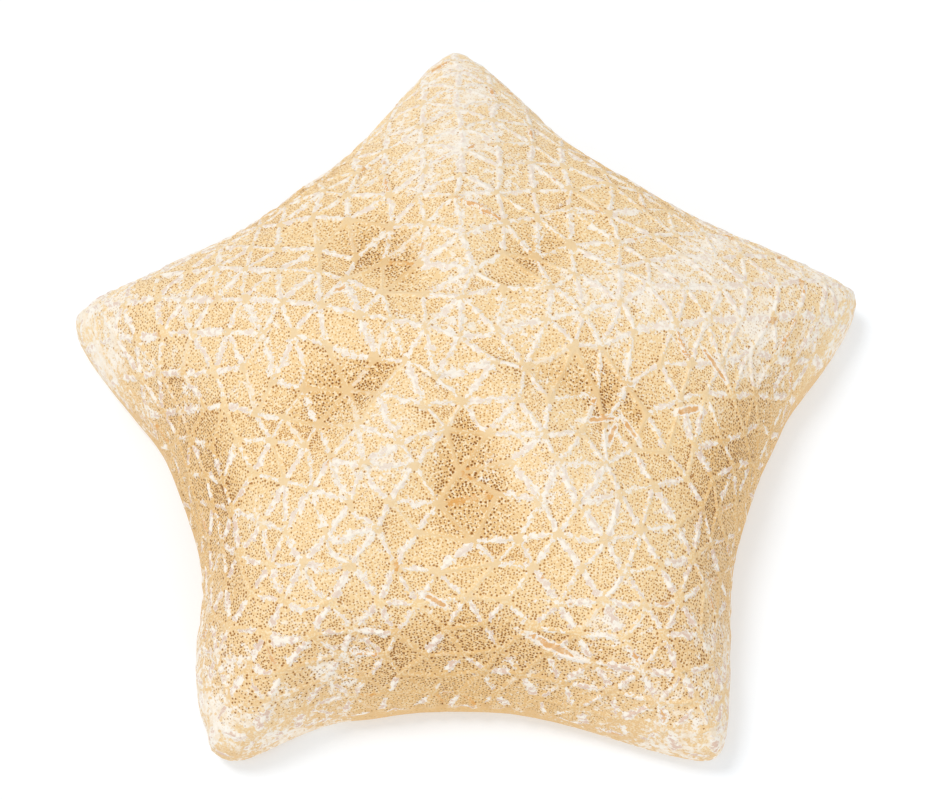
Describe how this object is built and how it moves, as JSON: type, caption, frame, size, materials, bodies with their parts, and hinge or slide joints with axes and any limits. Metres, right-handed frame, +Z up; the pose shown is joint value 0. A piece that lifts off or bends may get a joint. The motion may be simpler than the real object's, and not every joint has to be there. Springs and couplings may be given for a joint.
{
  "type": "dried starfish",
  "caption": "Dried cushion starfish: a domed, blunt-armed star body with a netted, pitted back and a flat underside with feet grooves.",
  "frame": {"origin": "centre of the overall box on the surface that the underside rests on", "axes": "+Z up through the dome, +X to the right across the side arms, +Y along the arm that points straight away"},
  "size_m": [0.166, 0.1612, 0.0518],
  "materials": {
    "dried_skin": "matt dried tan skin over limy plates, with chalk-white worn ridges and dark pores"
  },
  "bodies": {
    "root": {"starfish": "dried_skin"}
  },
  "joints": []
}
